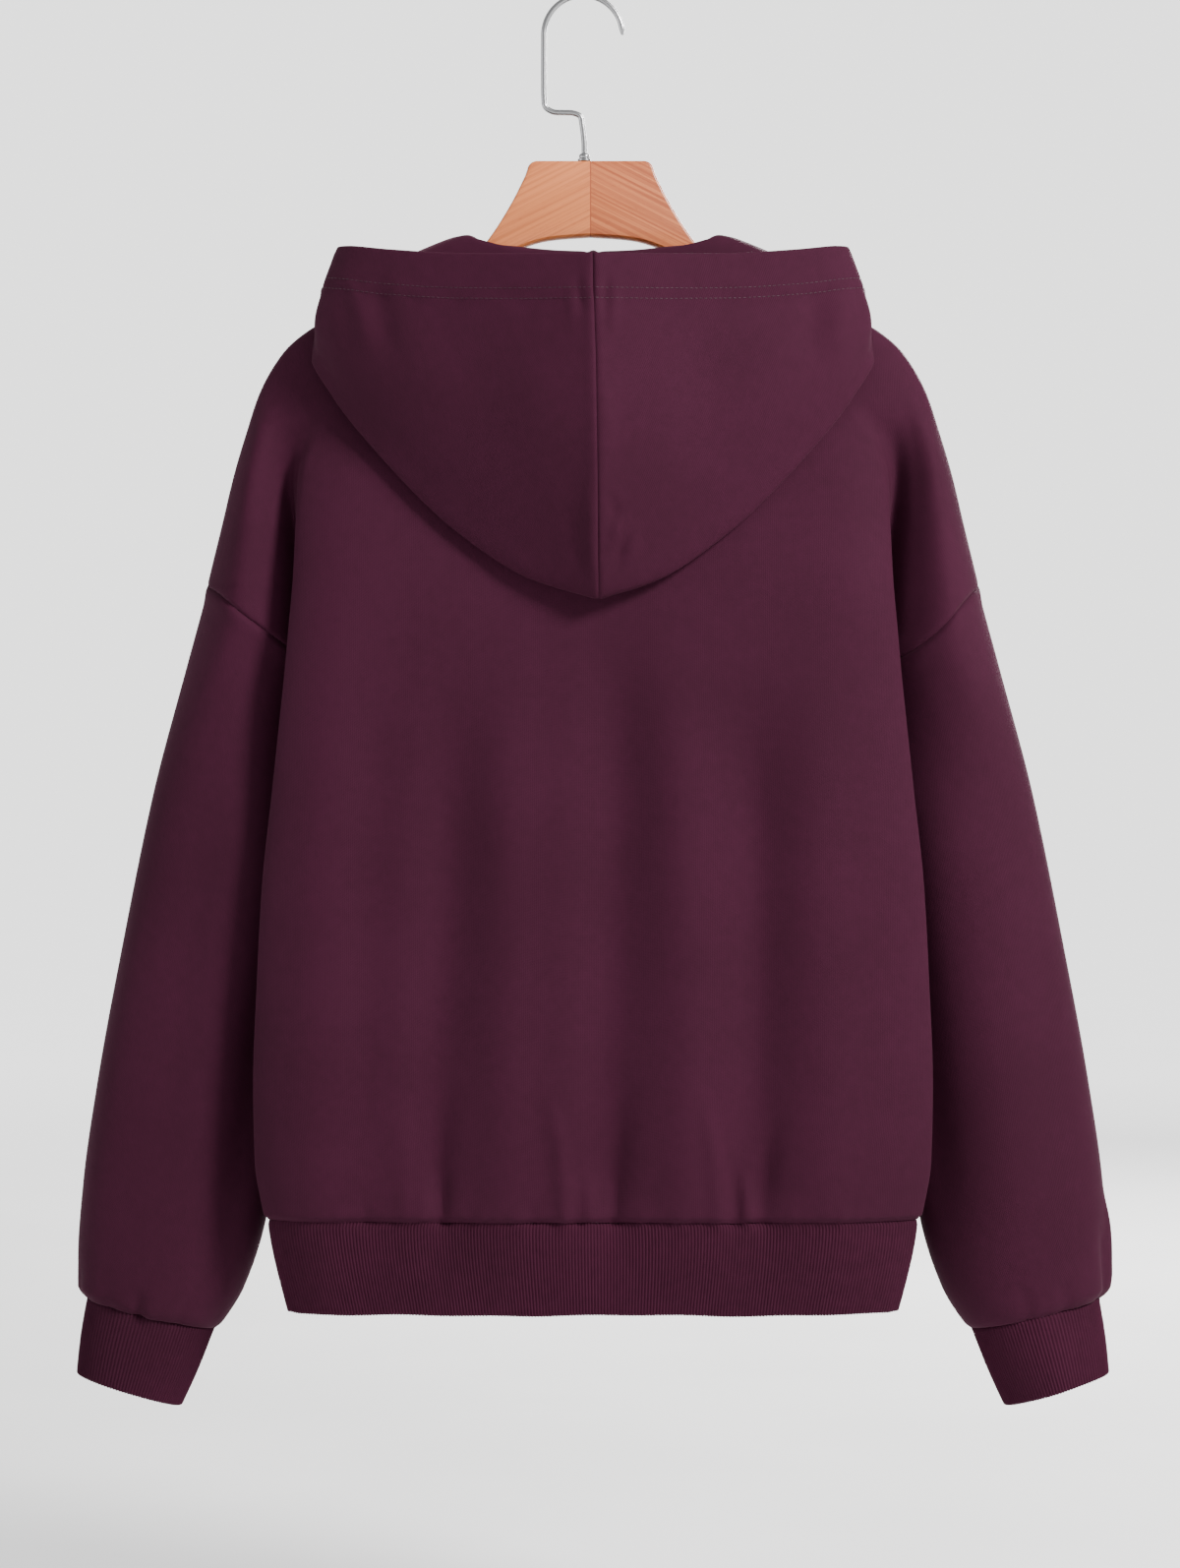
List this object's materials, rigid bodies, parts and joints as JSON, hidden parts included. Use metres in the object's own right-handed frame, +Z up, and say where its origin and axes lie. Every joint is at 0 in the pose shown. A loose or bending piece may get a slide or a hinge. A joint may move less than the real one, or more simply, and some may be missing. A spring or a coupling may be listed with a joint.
{
  "type": "zip up hoodie on a hanger",
  "caption": "Drop-shoulder zip up hoodie with ribbed cuffs and hem, its hood hanging down the back, on a wooden hanger with a wire hook.",
  "frame": {"origin": "inside top of the hanger's hook, on the wire's lower surface", "axes": "+Z up; the garment's back and its hood face -Y and its zip faces +Y; +X is to the right seen from behind"},
  "size_m": [0.6284, 0.1419, 0.8564],
  "materials": {
    "fleece": "burgundy sweatshirt knit, smooth outside with a faint sheen",
    "rib": "burgundy fine 1x1 rib knit",
    "zip_tape": "woven zip tape in the cloth's colour",
    "zip_metal": "nickel-coloured zip teeth, slider and tab",
    "wood": "reddish beech with a satin lacquer, grain meeting in a chevron at the centre",
    "steel": "plated steel wire"
  },
  "bodies": {
    "garment": {"back": "fleece", "front_left": "fleece", "front_right": "fleece", "sleeve_left": "fleece", "sleeve_right": "fleece", "hood_left": "fleece", "hood_right": "fleece", "cuff_left": "rib", "cuff_right": "rib", "hem_band": "rib", "zip_tape_left": "zip_tape", "zip_tape_right": "zip_tape", "zip_chain": "zip_metal", "zip_slider": "zip_metal", "zip_bottom_box": "zip_metal", "hanger_wood": "wood", "hanger_hook": "steel", "hook_collar": "steel"},
    "pull_tab": {"zip_pull_tab": "zip_metal"}
  },
  "joints": [
    {"name": "tab_hinge", "type": "hinge", "parent": "garment", "child": "pull_tab", "pos_m": [0.006, 0.0228, -0.24745], "axis": [1, 0, 0], "range_deg": [0, 150]}
  ]
}
